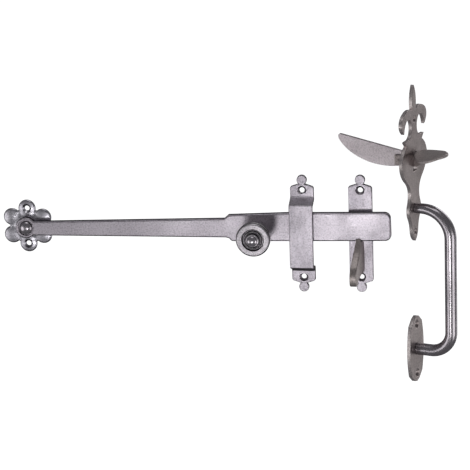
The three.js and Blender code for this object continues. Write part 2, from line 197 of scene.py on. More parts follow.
def add_flat_face(points, faces, rims, inner):
    """Fills a flat face between its outline, the first rim, and its holes, through the inner points."""
    given = [i for rim in rims for i in rim]
    owner = [n for n, rim in enumerate(rims) for _ in rim]
    level = points[given[0]][1]
    flat = [Vector((points[i][0], points[i][2])) for i in given] + [Vector(p) for p in inner]
    edges, start = [], 0
    for rim in rims:
        count = len(rim)
        edges += [(start + i, start + (i + 1) % count) for i in range(count)]
        start += count
    made, _, triangles, origin, _, _ = delaunay_2d_cdt(flat, edges, [], INSIDE_WITH_HOLES, 1e-5)
    index, owners = [], []
    for p, source in zip(made, origin):
        known = [i for i in source if i < len(given)]
        if known:
            index.append(given[known[0]])
            owners.append(owner[known[0]])
        else:
            index.append(len(points))
            owners.append(-1)
            points.append((p.x, level, p.y))
    for triangle in triangles:
        on = {owners[i] for i in triangle}
        across_a_hole = len(on) == 1 and on.pop() > 0  # all its corners are on one hole's rim
        if not across_a_hole:
            faces.append(tuple(index[i] for i in triangle))


def plate_mesh(loops, shape=None, inner=()):
    """A plate with the first loop as its outline and the rest as holes, each with its edge profile.

    shape turns (x, level, z) into (x, depth, z), and inner lists extra points for the two faces."""
    points, faces, back, front = [], [], [], []
    for n, (loop, profile) in enumerate(loops):
        rings = []
        for inset, level in profile:
            ring = offset(loop, inset if n == 0 else -inset)
            rings.append(range(len(points), len(points) + len(ring)))
            points += [(p.x, level, p.y) for p in ring]
        for low, high in zip(rings, rings[1:]):
            for i in range(len(loop)):
                j = (i + 1) % len(loop)
                faces.append((low[i], low[j], high[j], high[i]))
        back.append(rings[0])
        front.append(rings[-1])
    for rims in (back, front):
        add_flat_face(points, faces, rims, inner)
    if shape:
        points = [shape(*p) for p in points]
    return points, faces


def grid_inside(loop, step, margin):
    """Points of a square grid that are inside a closed loop by at least that margin."""
    inner = offset(loop, margin)
    xs, zs = [p.x for p in loop], [p.y for p in loop]
    found = []
    for i in range(math.floor(min(xs) / step), math.ceil(max(xs) / step) + 1):
        for k in range(math.floor(min(zs) / step), math.ceil(max(zs) / step) + 1):
            x, z = i * step, k * step
            crossings = 0
            for a, b in zip(inner, inner[1:] + inner[:1]):
                if (a.y > z) != (b.y > z) and x < a.x + (z - a.y) / (b.y - a.y) * (b.x - a.x):
                    crossings += 1
            if crossings % 2:
                found.append((x, z))
    return found


def turned_mesh(profile, x=0.0, z=0.0, sides=96):
    """A turned shape about the depth axis through x, z, from a list of (radius, depth)."""
    points, faces, rings = [], [], []
    for radius, depth in profile:
        count = sides if radius > 1e-6 else 1
        rings.append(range(len(points), len(points) + count))
        for i in range(count):
            a = 2 * math.pi * i / sides
            points.append((x + radius * math.cos(a), depth, z + radius * math.sin(a)))
    for low, high in zip(rings, rings[1:]):
        for i in range(sides):
            j = i + 1
            corners = (low[i % len(low)], low[j % len(low)], high[j % len(high)], high[i % len(high)])
            face = tuple(dict.fromkeys(corners))
            if len(face) > 2:
                faces.append(face)
    return points, faces


def eased(profile, radius, steps=3):
    """A turned profile with its corners rounded, apart from the ends."""
    share = 0.45  # the most of an edge that one rounding may take
    made = [profile[0]]
    for before, corner, after in zip(profile, profile[1:], profile[2:]):
        p, q, r = Vector(before), Vector(corner), Vector(after)
        cut = min(radius, (p - q).length * share, (r - q).length * share)
        a, b = q + (p - q).normalized() * cut, q + (r - q).normalized() * cut
        made += [tuple(v) for v in trace(a, (tuple(q), tuple(b)), steps=steps)]
    return made + [profile[-1]]


def dome(radius, base, height, steps=12):
    angles = [math.pi / 2 * i / steps for i in range(steps)]
    return [(radius * math.cos(a), base + height * math.sin(a)) for a in angles] + [(0.0, base + height)]


def swept_mesh(centres, radii, sides=48):
    """A round rod in the depth-z plane. centres are (depth, z) pairs, each with its own radius."""
    points, faces = [], []
    for i, (centre, radius) in enumerate(zip(centres, radii)):
        ahead = (centres[min(i + 1, len(centres) - 1)] - centres[max(i - 1, 0)]).normalized()
        across = Vector((-ahead.y, ahead.x))
        for k in range(sides):
            a = 2 * math.pi * k / sides
            flat = centre + across * (radius * math.cos(a))
            points.append((radius * math.sin(a), flat.x, flat.y))
    for i in range(len(centres) - 1):
        for k in range(sides):
            a, b = i * sides + k, i * sides + (k + 1) % sides
            faces.append((a, b, b + sides, a + sides))
    last = (len(centres) - 1) * sides
    faces += [tuple(range(sides)), tuple(range(last, last + sides))]
    return points, faces


SHARP = math.radians(38)  # a bend of more than this between two faces is shown as an edge
# The two below pick the faces that take a piece's second material: painted shade, and on the handle plates a
# painted highlight.
WALL_SLOPE = 0.4  # a face whose normal has less than this of the depth direction is a cut side
DOWNWARD = -0.35  # a normal's z below which a face faces down


def piece(name, mesh_data, where, body, node, slot, material, painted_sides=None):
    """A finished piece, made from points of (x, depth, z) and faces, that stands for a CAD node.

    The last argument is the material of its cut sides and of the edges that face down: painted shade, and on
    the handle plates a painted highlight."""
    points, faces = mesh_data
    mesh = bpy.data.meshes.new(name)
    mesh.from_pydata([where @ Vector((x, -depth, z)) for x, depth, z in points], [], faces)
    shape = bmesh.new()
    shape.from_mesh(mesh)
    bmesh.ops.remove_doubles(shape, verts=shape.verts, dist=1e-7)
    bmesh.ops.recalc_face_normals(shape, faces=shape.faces)
    shape.to_mesh(mesh)
    shape.free()
    for face in mesh.polygons:
        face.use_smooth = True
    mesh.set_sharp_from_angle(angle=SHARP)
    mesh.materials.append(material)
    # Cut sides and down-facing faces take the second material, which paints shade on them, and a highlight
    # on the handle plates.
    if painted_sides:
        mesh.materials.append(painted_sides)
        depth = where.col[1].to_3d().normalized()
        for face in mesh.polygons:
            if abs(face.normal.dot(depth)) < WALL_SLOPE or face.normal.z < DOWNWARD:
                face.material_index = 1
    made = bpy.data.objects.new(name, mesh)
    bpy.context.scene.collection.objects.link(made)
    weights = made.modifiers.new("weighted_normals", "WEIGHTED_NORMAL")
    weights.keep_sharp = True
    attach(made, body)
    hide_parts(node)
    return made


# ---- Materials ----


class NodeTree:
    """A new material with an empty node tree, and short ways to add to it."""

    def __init__(self, name):
        self.material = bpy.data.materials.new(name)
        self.material.use_nodes = True
        self.nodes = self.material.node_tree.nodes
        self.links = self.material.node_tree.links
        self.nodes.clear()

    def add(self, kind, **values):
        node = self.nodes.new(kind)
        for key, value in values.items():
            if key in node.inputs:
                node.inputs[key].default_value = value
            else:
                setattr(node, key, value)
        return node

    def ramp(self, source, low, high, low_value=0.0, high_value=1.0):
        """The source's range from low to high, turned into the range between the two values."""
        node = self.add("ShaderNodeMapRange")
        node.inputs["From Min"].default_value = low
        node.inputs["From Max"].default_value = high
        node.inputs["To Min"].default_value = low_value
        node.inputs["To Max"].default_value = high_value
        self.links.new(source, node.inputs["Value"])
        return node.outputs["Result"]

    def combine(self, kind, a, b):
        """The result of an operation on two numbers or sockets."""
        node = self.add("ShaderNodeMath", operation=kind)
        for socket, value in zip(node.inputs, (a, b)):
            if isinstance(value, (int, float)):
                socket.default_value = value
            else:
                self.links.new(value, socket)
        return node.outputs[0]

    def mixed(self, factor, a, b):
        """Colour a, turned into colour b as the factor goes from 0 to 1."""
        node = self.add("ShaderNodeMix", data_type="RGBA")
        self.links.new(factor, node.inputs["Factor"])
        colour_sockets = [s for s in node.inputs if s.type == "RGBA"]
        for socket, value in zip(colour_sockets, (a, b)):
            if isinstance(value, tuple):
                socket.default_value = (*value, 1)
            else:
                self.links.new(value, socket)
        return [s for s in node.outputs if s.type == "RGBA"][0]

    def noise(self, vector, scale, detail, rough=0.55):
        node = self.add("ShaderNodeTexNoise", Scale=scale, Detail=detail, Roughness=rough)
        self.links.new(vector, node.inputs["Vector"])
        return node.outputs["Fac"]


def scaled(colour, factor, more=0.0):
    """A lighter or darker colour."""
    return tuple(min(1, c * factor + more) for c in colour)


ALONG_GRAIN, ACROSS_GRAIN = 90, 2600  # scales of the drawn lines, per metre
RUBBED_SHEEN_WIDTH = 0.0009  # how far the bright edges, part rubbed wear and part painted highlight, reach from an edge, in metres


def steel(
    name, colour, dark, roughness, along="X",
    grain=1.0, patina=0.35, wear_and_sheen=0.35, metallic=0.92, bump=0.32, cloudy=1.0,
):
    """Pewter-finished steel: drawn grain along one axis, cloudy patina, small pits, and edges brightened
    partly by rubbed wear and partly as a painted highlight.
    """
    tree = NodeTree(name)
    coords = tree.add("ShaderNodeTexCoord").outputs["Object"]
    stretch = tree.add("ShaderNodeMapping")
    scales = [ALONG_GRAIN if axis == along else ACROSS_GRAIN for axis in "XYZ"]
    stretch.inputs["Scale"].default_value = scales
    tree.links.new(coords, stretch.inputs["Vector"])
    lines = tree.noise(stretch.outputs["Vector"], 1.0, 3.0)
    clouds = tree.noise(coords, 38.0, 4.0)
    mottle = tree.noise(coords, 760.0, 4.0, rough=0.7)
    speckle = tree.noise(coords, 1500.0, 2.0)

    # Brighter rounded edges: partly rubbed wear, partly a painted highlight where the edges catch light.
    bevel = tree.add("ShaderNodeBevel", samples=4, Radius=RUBBED_SHEEN_WIDTH)
    normal = tree.add("ShaderNodeNewGeometry").outputs["Normal"]
    dot = tree.add("ShaderNodeVectorMath", operation="DOT_PRODUCT")
    tree.links.new(bevel.outputs["Normal"], dot.inputs[0])
    tree.links.new(normal, dot.inputs[1])
    edge = tree.ramp(dot.outputs["Value"], 0.995, 0.86)
    rubbed_and_sheen = tree.combine("MULTIPLY", edge, tree.ramp(mottle, 0.3, 0.6, 0.35 * wear_and_sheen, wear_and_sheen))

    soot = tree.combine("MULTIPLY", tree.ramp(clouds, 0.42, 0.66), patina)
    body = tree.mixed(soot, colour, dark)
    body = tree.mixed(tree.ramp(mottle, 0.36, 0.62, 0.0, 0.55 * cloudy), body, scaled(colour, 1.3))
    body = tree.mixed(tree.ramp(mottle, 0.5, 0.36, 0.0, 0.6 * cloudy), body, dark)
    body = tree.mixed(tree.ramp(lines, 0.35, 0.65, 0.0, 0.3 * grain), body, dark)
    body = tree.mixed(tree.ramp(speckle, 0.62, 0.74, 0.0, 0.2), body, scaled(dark, 0.6))
    # The edges are lightened here: rubbed wear together with a painted highlight.
    body = tree.mixed(rubbed_and_sheen, body, scaled(colour, 1.5, 0.05))
    shader = tree.add("ShaderNodeBsdfPrincipled", Metallic=metallic)
    tree.links.new(body, shader.inputs["Base Color"])

    cloudy_gloss = tree.ramp(clouds, 0.3, 0.7, roughness - 0.05, roughness + 0.06)
    rough = tree.combine("ADD", cloudy_gloss, tree.ramp(lines, 0.3, 0.7, -0.04, 0.05))
    rough = tree.combine("SUBTRACT", rough, tree.combine("MULTIPLY", rubbed_and_sheen, 0.1))
    tree.links.new(rough, shader.inputs["Roughness"])

    line_height = tree.combine("MULTIPLY", lines, 0.5 * grain)
    mottle_height = tree.combine("MULTIPLY", mottle, 0.55)
    height = tree.combine("ADD", line_height, mottle_height)
    pits = tree.combine("MULTIPLY", tree.ramp(speckle, 0.6, 0.75), -0.5)
    height = tree.combine("ADD", height, pits)
    relief = tree.add("ShaderNodeBump", Strength=bump, Distance=0.00008)
    tree.links.new(height, relief.inputs["Height"])
    tree.links.new(relief.outputs["Normal"], shader.inputs["Normal"])
    output = tree.add("ShaderNodeOutputMaterial")
    tree.links.new(shader.outputs["BSDF"], output.inputs["Surface"])
    return tree.material


BAR_STEEL = steel(
    "bar_steel", (0.53, 0.49, 0.535), (0.27, 0.245, 0.285), 0.36, "X", grain=0.4, patina=0.12, wear_and_sheen=0.9,
)
STRAP_STEEL = steel(
    "strap_steel", (0.54, 0.50, 0.55), (0.31, 0.285, 0.32), 0.38, "Z", grain=0.4, patina=0.08, wear_and_sheen=0.9,
)
# Near-black painted shade on cut sides and down-facing edges, in place of the shade that falls there.
SHADED_SIDE_STEEL = steel("painted_shade_sides", (0.08, 0.072, 0.078), (0.035, 0.032, 0.035), 0.42, "X", wear_and_sheen=0.1)
BLADE_STEEL = steel(
    "blade_steel", (0.62, 0.56, 0.585), (0.40, 0.355, 0.37), 0.4, "X", grain=0.5, patina=0.2, wear_and_sheen=0.7,
)
ROSETTE_STEEL = steel(
    "rosette_steel", (0.62, 0.60, 0.65), (0.2, 0.19, 0.22), 0.3, "X",
    grain=0.2, patina=0.3, wear_and_sheen=0.8, bump=0.15, cloudy=0.6,
)
DISC_STEEL = steel(
    "disc_steel", (0.50, 0.47, 0.50), (0.2, 0.19, 0.2), 0.38, "Y",
    grain=0.2, patina=0.2, wear_and_sheen=0.6, bump=0.05,
)
KNOB_STEEL = steel(
    "turned_steel", (0.62, 0.58, 0.62), (0.14, 0.13, 0.14), 0.2, "Y",
    grain=0.1, wear_and_sheen=0.0, bump=0.02, cloudy=0.4,
)
HANDLE_STEEL = steel(
    "handle_steel", (0.345, 0.297, 0.292), (0.16, 0.135, 0.13), 0.4, "Z", grain=0.7, patina=0.45, wear_and_sheen=0.9,
)
# Painted highlight: a lighter tone on the handle plates' cut sides and down-facing edges, as if lit from the
# side.
LIT_SIDE_STEEL = steel(
    "painted_highlight_sides", (0.74, 0.67, 0.66), (0.42, 0.37, 0.365), 0.38, "Z", grain=0.4, patina=0.2, wear_and_sheen=0.4,
)
LEAF_STEEL = steel(
    "leaf_steel", (0.50, 0.445, 0.435), (0.32, 0.28, 0.275), 0.42, "X", grain=0.4, metallic=0.5,
)
HOOK_STEEL = steel("hook_steel", (0.50, 0.445, 0.43), (0.27, 0.235, 0.228), 0.42, "Z", grain=0.7, wear_and_sheen=0.7)
ROD_STEEL = steel(
    "rod_steel", (0.56, 0.52, 0.555), (0.24, 0.22, 0.24), 0.23, "Z",
    grain=0.1, wear_and_sheen=0.0, bump=0.008, cloudy=0.25,
)


# ---- Latch bar, rosette and knob ----

BAR_BACK, BAR_THICK = 4.2, 5.0
BAR_FRONT = BAR_BACK + BAR_THICK
EYE = {"radius": 8.8, "recess": 6.4, "sunk": 1.5, "shank": 3.0}
ARM = 166.0  # where the slim arm widens into the blade


def rosette_mesh():
    """Six petals, each hammered to a shallow dome."""
    away, petal, disc = 14.9, 7.2, 11.6
    flat, slope = 8.0, 4.0  # radius of the flat middle, and the width over which the domes begin
    sink = 0.26  # share of the thickness that a petal's edge is lower by
    # Where two neighbouring petals meet, as an angle about a petal's own centre
    half_step = math.radians(30)
    meet = math.atan2(away * math.sin(half_step), away * math.cos(half_step) - disc * 0.98)
    spread = 180 - math.degrees(meet)
    outline = []
    for toward in range(30, 390, 60):
        angle = math.radians(toward)
        centre_x, centre_z = away * math.cos(angle), away * math.sin(angle)
        outline += arc(centre_x, centre_z, petal, toward - spread, toward + spread, 30)
    centres = [Vector(p) for p in circle(0, 0, away, 12)[1::2]]
    drilled = centres[1::3]
    clear = SCREW["head"] + 0.9
    grid = grid_inside(outline, 0.9, 1.8)
    grid = [p for p in grid if min((Vector(p) - c).length for c in drilled) > clear]

    def shape(x, level, z):
        near = min((Vector((x, z)) - c).length for c in centres) / petal
        out = min(1.0, max(0.0, (math.hypot(x, z) - flat) / slope))
        return (x, level * (1 - sink * out * min(1.0, near) ** 2), z)

    loops = [(outline, rounded_edge(PLATE, 1.3, 6)), screw_loop(0, away), screw_loop(0, -away)]
    return plate_mesh(loops, shape, grid)


def bar_mesh():
    above = {"thin": 5.4, "wide": 7.5, "tall": 12.0}
    below = {"thin": 6.4, "wide": 8.4, "tall": 11.6}
    corner = 5.0
    end = BAR_REACH - corner
    meet = [math.degrees(math.asin(side["thin"] / EYE["radius"])) for side in (above, below)]
    wide, tall = below["wide"], below["tall"]
    low = trace(
        (ARM, -wide),
        ((ARM + 2.5, -wide - 0.3), (ARM + 3.6, -tall + 2)),
        ((ARM + 4.6, -tall), (ARM + 7, -tall)),
    )
    high = trace((ARM + 50, above["tall"]), (ARM + 3.5, above["tall"] - 1.4), (ARM, above["wide"]))
    outline = (
        arc(0, 0, EYE["radius"], meet[0], 360 - meet[1], 48)
        + low
        + arc(end, corner - tall, corner, -90, 0, 10)
        + arc(end, above["tall"] - corner, corner, 0, 90, 10)
        + high
    )
    bore = EYE["shank"] + GAP
    step = EYE["recess"] - bore
    level = BAR_THICK - EYE["sunk"]
    eye_edge = [
        (0.2, 0), (0, 0.2), (0, level), (step, level), (step, BAR_THICK - 0.3), (step + 0.35, BAR_THICK),
    ]
    loops = [
        (outline, rounded_edge(BAR_THICK, 1.3, 5)),
        (circle(0, 0, bore), eye_edge),
        (circle(KNOB_X, KNOB_Z, bore), plain_edge(BAR_THICK)),
    ]
    return plate_mesh(loops, lambda x, level, z: (x, level + BAR_BACK, z))


def rivet_mesh():
    foot, head, height = 1.3, 5.5, 2.7
    seat = BAR_FRONT - EYE["sunk"] + GAP
    profile = [(0, foot), (EYE["shank"], foot), (EYE["shank"], seat), (head, seat), (head, seat + 0.4)]
    return turned_mesh(profile + dome(head - 0.05, seat + 0.5, height))


def washer_mesh(inner, outer, back, front, x=0.0, z=0.0):
    profile = [(inner, back), (outer, back), (outer, front), (inner, front), (inner, back)]
    return turned_mesh(eased(profile, 0.15), x, z)


KNOB = {"radius": 13.8, "front": BAR_FRONT + 30, "back": BAR_FRONT + 22}
WASHER = 1.0  # thickness of the washer behind the bar, under the riveted end of the knob's stem


def knob_stem_mesh():
    """A waisted neck with a collar on the bar, riveted over behind the bar and in front of the disc."""
    shank, collar, rivet, waist, flare = EYE["shank"], 6.4, 4.3, 3.9, 1.5
    washer_back = BAR_BACK - GAP - WASHER
    profile = [
        (0, washer_back - 1.3), (3.9, washer_back - 1.3), (4.4, washer_back - 0.9), (4.4, washer_back - GAP),
        (shank, washer_back - GAP), (shank, BAR_FRONT + GAP), (collar, BAR_FRONT + GAP),
        (collar, BAR_FRONT + 1.7),
    ]
    start, end = BAR_FRONT + 2.2, KNOB["back"] - GAP
    for i in range(17):
        along = i / 16
        profile.append((waist + flare * (2 * along - 1) ** 2, start + along * (end - start)))
    seat = KNOB["front"] + 2.6
    profile = eased(profile + [(shank, end), (shank, seat), (rivet, seat)], 0.2, 2)
    return turned_mesh(profile + dome(rivet, seat + 0.5, 2.2), KNOB_X, KNOB_Z)


def knob_disc_mesh():
    """A disc with a grooved rim, two turned grooves in its face and a boss round the stem."""
    r, front, back = KNOB["radius"], KNOB["front"], KNOB["back"]
    bore, boss = EYE["shank"] + GAP, front + 2.3
    profile = [
        (bore, back), (6.5, back), (r - 1.6, back + 0.7), (r - 0.3, back + 1.4), (r - 0.15, back + 2.4),
        (r - 1, back + 3.5), (r - 1, back + 4.4), (r, back + 5.5), (r, front - 1.2), (r - 0.9, front - 0.1),
        (r - 1.4, front), (8.9, front), (8.5, front - 1.9), (7.7, front - 2.2), (7.1, front - 0.6),
        (6.7, front - 0.2), (6.3, front - 0.5), (6.0, front - 1.2), (5.6, front - 0.9), (5.4, boss - 0.6),
        (5.0, boss), (bore, boss), (bore, back),
    ]
    return turned_mesh(eased(profile, 0.45, 3), KNOB_X, KNOB_Z, 128)


# ---- Keeper and catch ----

# Half of the strip's width, the finial's radius, and heights above the strip's middle
STRIP = {"half": 9.6, "shoulder": 38.2, "neck": 41.5, "finial": 44.7, "radius": 4.1, "screw": 36.2}
STRAP = {"rise": 30.4, "top": 27.0, "out": 12.7, "bow": 0.2}


def strip_end():
    """The right-hand side of a strip's end, from the finial's tip down to the shoulder."""
    s = STRIP
    meet = -math.degrees(math.asin((s["finial"] - s["neck"]) / s["radius"]))
    path = arc(0, s["finial"], s["radius"], 90, meet, 18)
    return path + trace((s["half"] - 1, s["shoulder"] + 1.3), (s["half"], s["shoulder"]))


def strip_outline(longer=0.0, rows=()):
    """The strip's whole outline, longer at each end, with points at the rows' heights on its sides."""
    top = [Vector((p.x, p.y + longer)) for p in strip_end()]
    bottom = [Vector((p.x, -p.y)) for p in reversed(top)]
    sides = [Vector((STRIP["half"], v)) for v in rows if abs(v) < top[-1].y - 0.5]
    return mirrored(top + sides + bottom)


def keeper_mesh():
    """The strip bent over the bar: the flat pattern's height becomes the way along the strap."""
    s, inner = STRAP, STRAP["out"] - PLATE
    reach = STRIP["finial"] + STRIP["radius"] + 1
    foot = STRIP["shoulder"] - 3
    under = trace(
        (inner + s["bow"], 0), ((inner + s["bow"], 14), (inner, s["top"] - PLATE - 0.8)),
        ((inner, s["top"] - PLATE), (inner - 0.6, s["top"] - PLATE + 0.2)), (0.5, s["rise"] - PLATE - 0.2),
        ((0, s["rise"] - PLATE), (0, s["rise"] - PLATE + 0.7)), (0, foot), (0, reach),
    )
    over = trace(
        (s["out"] + s["bow"], 0), ((s["out"] + s["bow"], 14), (s["out"], s["top"] - 1.6)),
        ((s["out"], s["top"]), (s["out"] - 1.4, s["top"] - 0.5)), (PLATE + 1, s["rise"] - 0.35),
        ((PLATE, s["rise"]), (PLATE, s["rise"] + 1)), (PLATE, foot), (PLATE, reach),
    )
    along = [0.0]
    for a, b, c, d in zip(under, under[1:], over, over[1:]):
        along.append(along[-1] + ((b + d) / 2 - (a + c) / 2).length)
    longer = along[-2] - foot  # how much longer the strap is than it is tall, on each side

    def shape(x, level, v):
        away = min(abs(v), along[-1])
        i = max(k for k in range(len(along) - 1) if along[k] <= away)
        t = (away - along[i]) / (along[i + 1] - along[i])
        low, high = under[i].lerp(under[i + 1], t), over[i].lerp(over[i + 1], t)
        point = low.lerp(high, level / PLATE)
        return (x, point.x, math.copysign(point.y, v) if v else point.y)

    bends = along[1:-1]
    rows = bends[::-1] + [0.0] + [-v for v in bends]
    across = (-6.0, -3.0, 0.0, 3.0, 6.0)
    inner_points = [(x, v) for v in rows if abs(v) < along[-2] for x in across]
    screw = STRIP["screw"] + longer
    loops = [
        (strip_outline(longer, rows), rounded_edge(PLATE)),
        screw_loop(0, screw),
        screw_loop(0, -screw),
    ]
    return plate_mesh(loops, shape, inner_points)


def catch_plate_mesh():
    """The strip, flat, with a slot for the hook's tenon."""
    tenon = [Vector((p.x, p.y - 17)) for p in box_outline(2.2, 7.3, 0.5)]
    loops = [
        (strip_outline(), rounded_edge(PLATE)),
        screw_loop(0, STRIP["screw"]),
        screw_loop(0, -STRIP["screw"]),
        (tenon, plain_edge(PLATE)),
    ]
    return plate_mesh(loops)


HOOK = {
    "reach": 23.6, "thick": 5.6, "root": 3.6, "tenon": 3.8,
    "notch": 6.6, "floor": -4.65, "tip": -2.1, "lean": math.radians(10),
}


def hook_mesh():
    """The fin, with its tenon through the plate. It narrows towards its nose."""
    root, notch, out = PLATE + GAP, PLATE + HOOK["notch"], PLATE + HOOK["reach"]
    outline = trace(
        (root, -24), (GAP, -24), (GAP, -10), (root, -10), (root, HOOK["floor"]), (notch - 1, HOOK["floor"]),
        ((notch, HOOK["floor"]), (notch, HOOK["floor"] + 1)), (notch, HOOK["tip"] - 0.5),
        ((notch + 0.4, HOOK["tip"]), (notch + 1.2, HOOK["tip"] - 0.2)),
        ((notch + 2.6, -8.6), (notch + 7, -14)), (out - 3.2, -22),
        ((out, -26.5), (out, -31.5)), ((out - 0.2, -37.6), (out - 2.6, -37.8)),
        ((out - 4.6, -37.8), (out - 5.2, -35)), ((out - 12, -31), (root, -31)),
    )
    outline = divided(outline[::-1], 3.0)

    def shape(depth, level, z):
        width = HOOK["root"] + (HOOK["thick"] - HOOK["root"]) * min(1, max(0, -z / 15))
        side = (level / HOOK["thick"] - 0.5) * (width if depth > PLATE else HOOK["tenon"])
        return (side - max(0, depth - root) * math.tan(HOOK["lean"]), depth, z)

    loops = [(outline, rounded_edge(HOOK["thick"], 0.8, 4))]
    return plate_mesh(loops, shape, grid_inside(outline, 2.0, 1.4))


# ---- Handle ----

GRIP = {
    "radius": 4.8, "slimmer": 0.9, "tenon": 3.0,
    "top": -38.5, "bottom": -155.0, "out": 29.4, "upper": 23.0, "lower": 17.0,
}
FORK = {"half": 3.1, "height": 4.2, "end": 16.0, "rivet": 12.6}
PIVOT = {"behind": 4.0, "pin": 1.5, "span": 7.0}
SLOT = {"half": 3.7, "height": 7.8, "z": -0.6}
PAD = {"reach": 27.4, "half": 19.5, "thick": 2.5, "crown": 3.0, "top": 7.4}
BLADE_THICK = 3.0
# x is the middle of a lug's thickness. Its inner side is 4.2 from the middle of the handle.
LUG = {"thick": 2.3, "half": 3.4, "root": 8.6, "bore": PIVOT["pin"] + GAP, "x": 4.2 + 2.3 / 2}


def top_plate_mesh():
    """The spear plate, with a slot for the shank, two screw holes and a hole for the grip's tenon."""
    path = trace(
        (0, 60.6),
        ((3.8, 55), (4, 47.5)), ((4, 44), (3.6, 41)),  # the spear
        ((10.7, 44), (16.8, 41.6)), ((25.8, 38.8), (25.4, 31.8)), ((24.6, 28), (20.4, 25.2)),  # the hook
        ((19.4, 30.6), (16.6, 33.2)), ((13, 36.4), (9, 34.6)), ((5.5, 32.3), (5.2, 27)),
        ((5.2, 21), (11.1, 18.9)), (19.3, 18.6), (15.4, 14.6),  # the spur
        ((24.6, 10), (25.6, 1.5)), ((24.9, -8), (15.9, -14.4)),  # the leaf
        ((8.6, -19.5), (8.6, -26)), ((8.7, -31), (10.9, -34.5)),  # the neck
        ((13.3, -39.5), (10.2, -45)), ((6.4, -50), (5.9, -56)), ((5.2, -62), (0, -65.3)),  # the tail
        steps=12,
    )
    slot = [Vector((p.x, p.y + SLOT["z"])) for p in box_outline(SLOT["half"], SLOT["height"], 1)]
    loops = [
        (mirrored(path), rounded_edge(PLATE, 0.4)),
        (slot, plain_edge(PLATE, 0.3)),
        screw_loop(0, 33.4, SMALL_SCREW),
        screw_loop(0, -57.6, SMALL_SCREW),
        (circle(0, GRIP["top"], GRIP["tenon"] + GAP), plain_edge(PLATE)),
    ]
    return plate_mesh(loops)


def bottom_plate_mesh():
    path = trace(
        (0, 27.6), (4.7, 26.2), (11, 21), ((17.6, 0), (11, -21)), (4.7, -26.2), (0, -27.6), steps=24,
    )
    loops = [
        (mirrored(path), rounded_edge(PLATE, 0.4)),
        screw_loop(0, 20.4),
        screw_loop(0, -20.4),
        (circle(0, 0, GRIP["tenon"] + GAP), plain_edge(PLATE)),
    ]
    return plate_mesh(loops, lambda x, level, z: (x, level, z + GRIP["bottom"]))


def grip_mesh():
    """A rod bent to a D, drawn down to tenons in the two plates. Its upper leg is a little slimmer."""
    g = GRIP
    face, out = PLATE + GAP, PLATE + g["out"]
    upper, lower = g["upper"], g["lower"]
    line = [Vector((face, g["top"])), Vector((out - upper, g["top"]))]
    line += arc(out - upper, g["top"] - upper, upper, 90, 0, 24)
    line += arc(out - lower, g["bottom"] + lower, lower, 0, -90, 20)
    line += [Vector((face, g["bottom"]))]
    centres = [line[0]]
    for a, b in zip(line, line[1:]):
        if (b - a).length > 1e-6:
            parts = max(1, round((b - a).length / 1.5))
            centres += [a.lerp(b, k / parts) for k in range(1, parts + 1)]
    travelled, radii = 0.0, []
    for before, here in zip([centres[0]] + centres, centres):
        travelled += (here - before).length
        slim = max(0.0, 1 - travelled / 38) ** 2
        radii.append(g["radius"] - g["slimmer"] * slim)
    start = [Vector((GAP, g["top"])), Vector((face - 0.01, g["top"]))]
    end = [Vector((face - 0.01, g["bottom"])), Vector((GAP, g["bottom"]))]
    tenon = [g["tenon"]] * 2
    return swept_mesh(start + centres + end, tenon + radii + tenon)


def pad_mesh():
    """The leaf under the thumb, crowned across, with a thin rounded rim."""
    half, reach, root = PAD["half"], PAD["reach"], 1.6
    right = trace(
        (0, reach), ((4.4, reach), (9, reach - 3.8)), ((half + 2, 17.5), (half - 0.6, 11)),
        ((half - 5, 3.2), (FORK["half"], root)), (0, root), steps=14,
    )
    outline = divided(mirrored(right), 1.6)

    def shape(x, level, v):
        lift = PAD["top"] - PAD["thick"] + level - PAD["crown"] * (x / (half + 1)) ** 2
        rim = 0.5 * (1 - level / PAD["thick"]) * (abs(x) / half) ** 3  # the underside thins towards the rim
        return (x, PLATE + v, lift + rim)

    loops = [(outline, rounded_edge(PAD["thick"], 0.9, 5))]
    return plate_mesh(loops, shape, grid_inside(outline, 1.6, 1.8))


def shank_mesh():
    """The pad's shank: through the slot, and forked round the blade behind the plate."""
    front, back, cleft = PLATE + 10.5, PLATE - FORK["end"], -0.6
    half, gap = FORK["half"], BLADE_THICK / 2 + GAP
    outline = [
        (half, back), (half, front), (-half, front), (-half, back),
        (-gap, back), (-gap, cleft), (gap, cleft), (gap, back),
    ]
    outline = divided([Vector(p) for p in outline], 0.8)

    def shape(x, level, v):
        top = min(FORK["height"] + (v - back) * 0.05, PAD["top"] - 0.8)
        curve = max(0.0, v - PLATE - 1.5) / 9.0
        low = -FORK["height"] + curve**1.6 * 7.6
        return (x, v, low + level * (top - low))

    edge = [(0.4, 0), (0.1, 0.03), (0, 0.08), (0, 0.92), (0.1, 0.97), (0.4, 1)]
    return plate_mesh([(outline, edge)], shape)


def sideways(half, x=0.0):
    """Turns a plate drawn as (depth, z) on edge, to reach half its thickness to each side of x."""
    return lambda depth, level, z: (level - half + x, depth, z)


def blade_mesh():
    """The sickle-shaped lifting blade, behind the plate."""
    outline = trace(
        (-1.3, 3.6), (-6, 7), (-60.2, 17), ((-62.4, 16.6), (-61.2, 12.8)), ((-54, 1.6), (-36, -3.8)),
        ((-22, -7.4), (-8, -4.8)), ((-3, -4), (-1.3, -3.2)), steps=20,
    )
    return plate_mesh([(outline, rounded_edge(BLADE_THICK, 0.4))], sideways(BLADE_THICK / 2))


